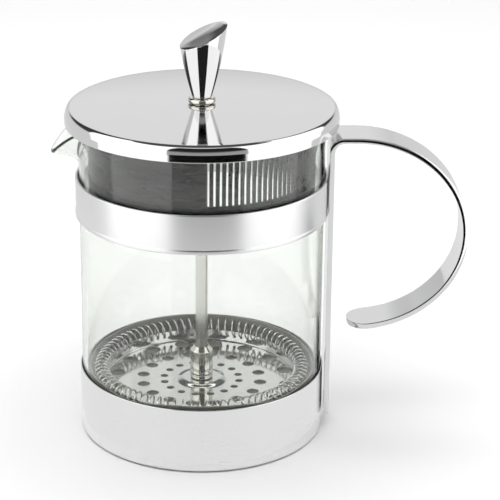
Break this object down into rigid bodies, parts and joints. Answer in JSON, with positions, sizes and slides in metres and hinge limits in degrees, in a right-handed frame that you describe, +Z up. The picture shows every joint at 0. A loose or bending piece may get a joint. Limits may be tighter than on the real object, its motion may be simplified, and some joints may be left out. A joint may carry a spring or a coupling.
{
  "type": "french press",
  "caption": "Glass coffee plunger with a spout, in a steel cup and band with a bent strap handle, a steel lid with a slotted liner, and a knob, rod and spring-edged filter.",
  "frame": {"origin": "centre of the cup's flat underside, on the axis of the glass", "axes": "+Z up along the axis of the glass, the spout towards -X and the handle towards +X"},
  "size_m": [0.1643, 0.1074, 0.167],
  "materials": {
    "satin_steel": "satin",
    "polished_steel": "polished",
    "chrome": "mirror",
    "nickel": "polished, slightly warm",
    "rod_steel": "drawn, satin",
    "spring_steel": "drawn wire, bright",
    "woven_steel": "fine woven wire, dull",
    "glass": "clear, faint green at the edges",
    "dark_plastic": "moulded, glossy",
    "silicone": "matt, translucent grey"
  },
  "bodies": {
    "holder": {"base_cup": "satin_steel", "base_cushion": "silicone", "collar_band": "polished_steel", "handle_strap": "polished_steel"},
    "beaker": {"glass_beaker": "glass"},
    "bushing": {"rod_bushing": "nickel", "bushing_washer": "polished_steel", "bushing_nut": "polished_steel"},
    "lid": {"lid_cover": "chrome", "lid_liner": "dark_plastic"},
    "rod": {"plunger_rod": "rod_steel"},
    "plunger": {"knob": "chrome", "filter_hub": "nickel", "hub_lock_ring": "nickel", "spring_plate": "polished_steel", "rim_spring": "spring_steel", "mesh_screen": "woven_steel", "cross_plate": "polished_steel", "filter_nut": "polished_steel"}
  },
  "joints": [
    {"name": "beaker_lift", "type": "slide", "parent": "holder", "child": "beaker", "axis": [0, 0, 1], "range_m": [0, 0.12]},
    {"name": "lid_lift", "type": "slide", "parent": "beaker", "child": "bushing", "axis": [0, 0, 1], "range_m": [0, 0.125]},
    {"name": "lid_turn", "type": "hinge", "parent": "bushing", "child": "lid", "pos_m": [0, 0, 0.13], "axis": [0, 0, 1], "continuous": true},
    {"name": "plunger_slide", "type": "slide", "parent": "bushing", "child": "rod", "axis": [0, 0, 1], "range_m": [0, 0.069]},
    {"name": "plunger_spin", "type": "hinge", "parent": "rod", "child": "plunger", "pos_m": [0, 0, 0.15], "axis": [0, 0, 1], "continuous": true}
  ]
}
